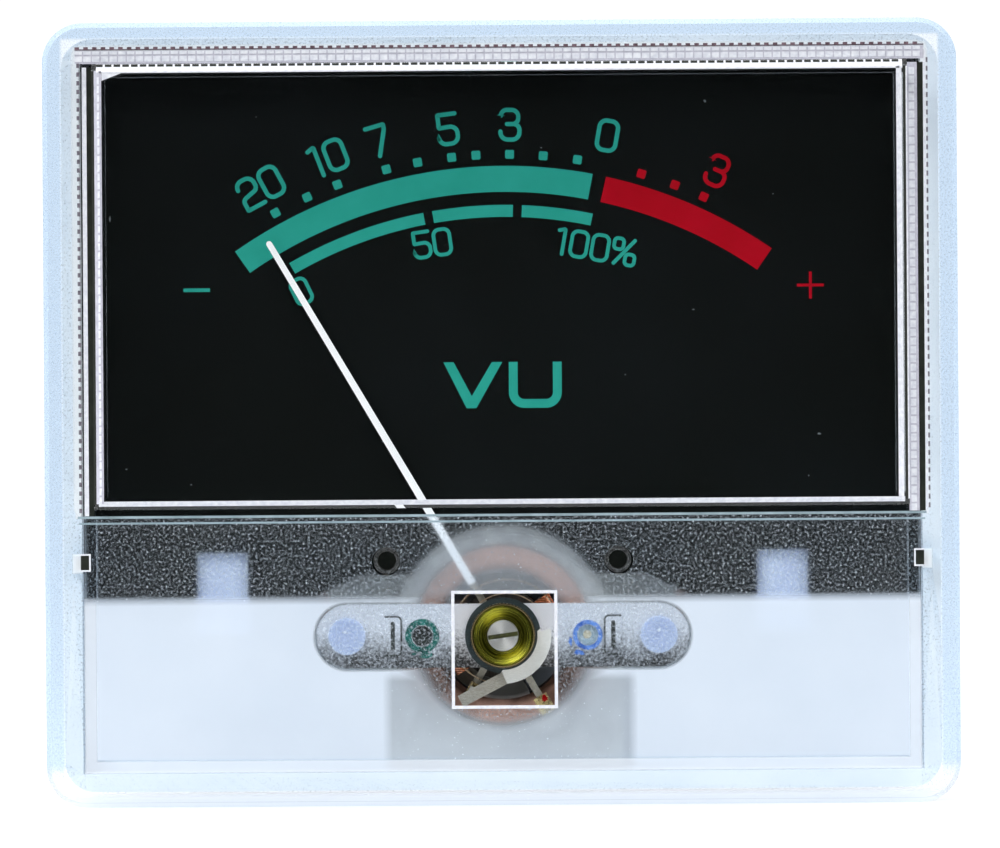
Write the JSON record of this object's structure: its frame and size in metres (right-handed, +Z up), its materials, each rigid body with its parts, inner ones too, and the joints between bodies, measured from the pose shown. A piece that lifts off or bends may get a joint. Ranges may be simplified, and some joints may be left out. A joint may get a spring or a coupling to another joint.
{
  "type": "analog vu meter",
  "caption": "Panel meter with a moving-coil movement behind a clear stepped cover: black dial with green and red scales, white pointer, small clear square over the jewel screw, rear terminals.",
  "frame": {"origin": "where the pointer's pivot axis meets the front face of the flange", "axes": "+X to the viewer's right, +Z up, -Y out of the dial towards the viewer"},
  "size_m": [0.0914, 0.041, 0.0785],
  "materials": {
    "clear_plastic": "clear, polished window and frosted lower zone",
    "white_plastic": "satin",
    "dial_black": "satin black with printed scales",
    "plated_steel": "zinc plated, grainy",
    "grey_plate": "matt",
    "copper_plated": "copper plated",
    "magnet_grey": "ground",
    "nylon": "milky",
    "frame_plastic": "moulded",
    "yellow_zinc": "yellow passivated",
    "nickel": "bright",
    "brass": "bright",
    "ruby": "polished",
    "bronze": "bright spring strip",
    "lever_metal": "bright",
    "aluminium": "matt",
    "winding_copper": "enamelled wire",
    "hard_steel": "polished points",
    "pointer_white": "white paint",
    "black_sleeve": "matt",
    "wire_red": "insulated wire",
    "lamp_glass": "clear",
    "lamp_black": "moulded"
  },
  "bodies": {
    "housing": {"front_cover": "clear_plastic", "rear_case": "white_plastic", "dial_plate": "dial_black", "dial_eyelets": "nickel", "pointer_stops": "black_sleeve", "front_bridge": "plated_steel", "rear_bridge": "plated_steel", "bridge_posts": "nylon", "shield_plate": "grey_plate", "movement_frame": "frame_plastic", "yoke_ring": "copper_plated", "core_magnet": "magnet_grey", "front_jewel_screw": "nickel", "rear_jewel_screw": "nickel", "front_jewel": "ruby", "rear_jewel": "ruby", "lock_cup": "yellow_zinc", "rear_lock_nut": "nickel", "rear_spring_anchor": "lever_metal", "rear_hairspring": "bronze", "terminal_studs": "brass", "terminal_washers": "nickel", "solder_tags": "nickel", "terminal_nuts": "nickel", "front_lead": "wire_red", "rear_lead": "wire_red", "lamp_hoods": "nylon", "lamp_bulbs": "lamp_glass", "lamp_sockets": "lamp_black", "lamp_blades": "nickel"},
    "moving_coil": {"coil_former": "aluminium", "coil_winding": "winding_copper", "front_pivot": "hard_steel", "rear_pivot": "hard_steel", "balance_cross": "bronze", "balance_weights": "brass", "pointer": "pointer_white"},
    "zero_lever_body": {"zero_lever": "lever_metal", "front_hairspring": "bronze"}
  },
  "joints": [
    {"name": "pointer_swing", "type": "hinge", "parent": "housing", "child": "moving_coil", "pos_m": [0, 0.0126, 0], "axis": [0, 1, 0], "range_deg": [-3, 66], "stiffness_Nm_per_rad": 0.00001, "deforming": ["front_hairspring", "rear_hairspring"]},
    {"name": "zero_adjust", "type": "hinge", "parent": "housing", "child": "zero_lever_body", "pos_m": [0, 0.0029, 0], "axis": [0, 1, 0], "range_deg": [-8, 8], "deforming": ["front_hairspring"]}
  ]
}
